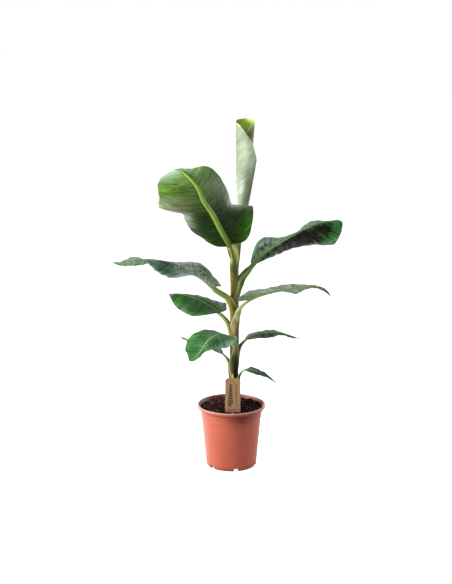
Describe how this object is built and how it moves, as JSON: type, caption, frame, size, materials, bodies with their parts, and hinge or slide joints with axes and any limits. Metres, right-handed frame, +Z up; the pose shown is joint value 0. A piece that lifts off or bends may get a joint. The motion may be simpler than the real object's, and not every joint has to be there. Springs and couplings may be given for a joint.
{
  "type": "potted banana plant",
  "caption": "Young banana plant with broad paddle leaves on arching stalks, a rolled new leaf on top, a terracotta-coloured nursery pot of soil and a plain tag on a stick.",
  "frame": {"origin": "middle of the pot's flat underside, on the floor", "axes": "+Z up, +X right and +Y away from the viewer of the picture"},
  "size_m": [0.6876, 0.3585, 1.065],
  "materials": {
    "pot": "satin terracotta-coloured plastic",
    "soil": "crumbly moist potting soil",
    "stem": "smooth layered leaf sheaths",
    "stalk": "smooth pale green",
    "leaf": "glossy green with fine cross veins",
    "stick": "bare wood",
    "tag": "matt brown card"
  },
  "bodies": {
    "root": {"pot": "pot", "potting_soil": "soil", "pseudostem": "stem", "leaf_01_stalk": "stalk", "leaf_01_blade": "leaf", "leaf_02_stalk": "stalk", "leaf_02_blade": "leaf", "leaf_03_stalk": "stalk", "leaf_03_blade": "leaf", "leaf_04_stalk": "stalk", "leaf_04_blade": "leaf", "leaf_05_stalk": "stalk", "leaf_05_blade": "leaf", "leaf_06_stalk": "stalk", "leaf_06_blade": "leaf", "leaf_07_stalk": "stalk", "leaf_07_blade": "leaf", "leaf_08_stalk": "stalk", "leaf_08_blade": "leaf", "leaf_09_stalk": "stalk", "leaf_09_blade": "leaf", "leaf_10_rolled": "leaf", "label_stick": "stick", "label_tag": "tag"}
  },
  "joints": []
}
